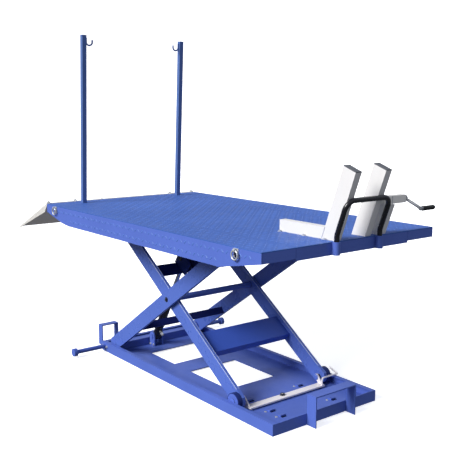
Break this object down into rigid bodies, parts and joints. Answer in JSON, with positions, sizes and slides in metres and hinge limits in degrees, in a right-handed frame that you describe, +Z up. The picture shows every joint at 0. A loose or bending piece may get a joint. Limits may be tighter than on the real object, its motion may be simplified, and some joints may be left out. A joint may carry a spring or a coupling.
{
  "type": "hydraulic scissor lift table for motorcycles",
  "caption": "Blue hydraulic scissor lift table for a motorcycle, raised, with wheel vise, wheel stop, tie-down posts and hinged ramp.",
  "frame": {"origin": "On the floor, in the middle of the underside of the base's central cross plate.", "axes": "X runs forward along the table to the wheel vise, Y to the left, Z up."},
  "size_m": [2.8286, 1.262, 2.0865],
  "materials": {
    "blue_paint": "painted",
    "deck_paint": "painted",
    "zinc": "zinc_plated",
    "galvanised": "zinc_plated",
    "vise_paint": "painted",
    "black_paint": "painted",
    "lock_steel": "painted",
    "chrome_rod": "polished",
    "dark_steel": "painted",
    "roller_poly": "moulded",
    "grip": "moulded"
  },
  "bodies": {
    "base": {"base_rail_right": "blue_paint", "base_rail_left": "blue_paint", "base_end_webs": "blue_paint", "base_tray": "blue_paint", "rear_beam": "blue_paint", "outrigger_sleeve": "blue_paint", "base_ears": "blue_paint", "base_hinge_pins": "zinc", "rail_bolts": "zinc", "rear_guard": "blue_paint", "front_guard": "blue_paint"},
    "outer_arms": {"outer_arm_right": "blue_paint", "outer_arm_left": "blue_paint", "outer_arm_beam": "blue_paint", "upper_roller_pins": "zinc"},
    "inner_arms": {"inner_arm_right": "blue_paint", "inner_arm_left": "blue_paint", "inner_lower_plate": "blue_paint", "cylinder_yoke": "blue_paint", "centre_tube": "blue_paint", "inner_arm_pins": "dark_steel"},
    "platform": {"deck_centre": "deck_paint", "deck_wing_right": "deck_paint", "deck_wing_left": "deck_paint", "platform_edges": "deck_paint", "deck_frame": "blue_paint", "platform_ears": "blue_paint", "platform_pins": "zinc", "sockets": "blue_paint", "lashing_eyes": "zinc", "vise_bolts": "zinc", "vise_foot": "vise_paint", "vise_jaw_fixed": "vise_paint", "vise_bracket": "vise_paint", "vise_guide_tube": "vise_paint", "wheel_stop_hoop": "black_paint"},
    "roller_low_right": {"lower_roller_right": "blue_paint"},
    "roller_low_left": {"lower_roller_left": "blue_paint"},
    "roller_top_right": {"upper_roller_right": "roller_poly"},
    "roller_top_left": {"upper_roller_left": "roller_poly"},
    "lock": {"lock_bar": "lock_steel"},
    "barrel": {"cylinder_barrel": "black_paint", "cylinder_gland": "zinc"},
    "rod": {"piston": "zinc", "piston_rod": "chrome_rod", "rod_pin": "zinc"},
    "stay_right": {"outrigger_right": "blue_paint"},
    "stay_left": {"outrigger_left": "blue_paint"},
    "jaw": {"vise_jaw_moving": "vise_paint"},
    "screw": {"vise_screw": "zinc", "crank_arm": "zinc"},
    "grip": {"crank_grip": "grip"},
    "post_r": {"post_right": "blue_paint"},
    "post_l": {"post_left": "blue_paint"},
    "ramp": {"ramp_plate": "galvanised", "ramp_frame": "galvanised"},
    "ring_front_right": {"tie_ring_front_right": "zinc"},
    "ring_rear_right": {"tie_ring_rear_right": "zinc"},
    "ring_front_left": {"tie_ring_front_left": "zinc"},
    "ring_rear_left": {"tie_ring_rear_left": "zinc"}
  },
  "joints": [
    {"name": "lift", "type": "hinge", "parent": "base", "child": "outer_arms", "pos_m": [-0.554, 0, 0.06], "axis": [0, 1, 0], "range_deg": [0, 30.5]},
    {"name": "inner_fold", "type": "hinge", "parent": "outer_arms", "child": "inner_arms", "pos_m": [0.08519, 0, 0.49114], "axis": [0, 1, 0], "range_deg": [-61, 0]},
    {"name": "platform_level", "type": "hinge", "parent": "inner_arms", "child": "platform", "pos_m": [-0.554, 0, 0.92227], "axis": [0, 1, 0], "range_deg": [0, 30.5]},
    {"name": "roller_low_right_spin", "type": "hinge", "parent": "inner_arms", "child": "roller_low_right", "pos_m": [0.72438, -0.335, 0.06], "axis": [0, 1, 0], "continuous": true},
    {"name": "roller_low_left_spin", "type": "hinge", "parent": "inner_arms", "child": "roller_low_left", "pos_m": [0.72438, 0.335, 0.06], "axis": [0, 1, 0], "continuous": true},
    {"name": "roller_top_right_spin", "type": "hinge", "parent": "outer_arms", "child": "roller_top_right", "pos_m": [0.72438, -0.367, 0.92227], "axis": [0, 1, 0], "continuous": true},
    {"name": "roller_top_left_spin", "type": "hinge", "parent": "outer_arms", "child": "roller_top_left", "pos_m": [0.72438, 0.367, 0.92227], "axis": [0, 1, 0], "continuous": true},
    {"name": "lock_swing", "type": "hinge", "parent": "inner_arms", "child": "lock", "pos_m": [0.72438, 0, 0.06], "axis": [0, -1, 0], "range_deg": [0, 14]},
    {"name": "barrel_swing", "type": "hinge", "parent": "base", "child": "barrel", "pos_m": [-0.494, -0.05, 0.076], "axis": [0, 1, 0], "range_deg": [0, 49.07]},
    {"name": "rod_stroke", "type": "slide", "parent": "barrel", "child": "rod", "axis": [0.5084, 0, 0.8611], "range_m": [-0.2721, 0]},
    {"name": "outrigger_right_slide", "type": "slide", "parent": "base", "child": "stay_right", "axis": [0, -1, 0], "range_m": [0, 0.2]},
    {"name": "outrigger_left_slide", "type": "slide", "parent": "base", "child": "stay_left", "axis": [0, 1, 0], "range_m": [0, 0.2]},
    {"name": "jaw_slide", "type": "slide", "parent": "platform", "child": "jaw", "axis": [0, 1, 0], "range_m": [-0.06, 0.01]},
    {"name": "screw_turn", "type": "hinge", "parent": "platform", "child": "screw", "pos_m": [1.26073, 0.325, 1.15928], "axis": [0, 1, 0], "continuous": true},
    {"name": "grip_spin", "type": "hinge", "parent": "screw", "child": "grip", "pos_m": [1.36743, 0.4, 1.11508], "axis": [0, 1, 0], "continuous": true},
    {"name": "post_right_lift", "type": "slide", "parent": "platform", "child": "post_r", "axis": [0.0523, 0, 0.9986], "range_m": [0, 0.07]},
    {"name": "post_left_lift", "type": "slide", "parent": "platform", "child": "post_l", "axis": [0.0523, 0, 0.9986], "range_m": [0, 0.07]},
    {"name": "ramp_swing", "type": "hinge", "parent": "platform", "child": "ramp", "pos_m": [-0.971, 0, 0.97828], "axis": [0, 1, 0], "range_deg": [0, 95]},
    {"name": "ring_front_right_swing", "type": "hinge", "parent": "platform", "child": "ring_front_right", "pos_m": [1.074, -0.623, 0.96827], "axis": [-1, 0, 0], "range_deg": [0, 60]},
    {"name": "ring_rear_right_swing", "type": "hinge", "parent": "platform", "child": "ring_rear_right", "pos_m": [-0.818, -0.623, 0.96827], "axis": [-1, 0, 0], "range_deg": [0, 60]},
    {"name": "ring_front_left_swing", "type": "hinge", "parent": "platform", "child": "ring_front_left", "pos_m": [1.074, 0.623, 0.96827], "axis": [1, 0, 0], "range_deg": [0, 60]},
    {"name": "ring_rear_left_swing", "type": "hinge", "parent": "platform", "child": "ring_rear_left", "pos_m": [-0.818, 0.623, 0.96827], "axis": [1, 0, 0], "range_deg": [0, 60]}
  ],
  "couplings": [
    {"joint": "inner_fold", "follows": "lift", "ratio": -2},
    {"joint": "platform_level", "follows": "lift", "ratio": 1},
    {"joint": "barrel_swing", "follows": "lift", "ratio": 1.6024},
    {"joint": "rod_stroke", "follows": "lift", "m_per_rad": -0.50738},
    {"joint": "screw_turn", "follows": "jaw_slide", "rad_per_m": 523.6}
  ]
}
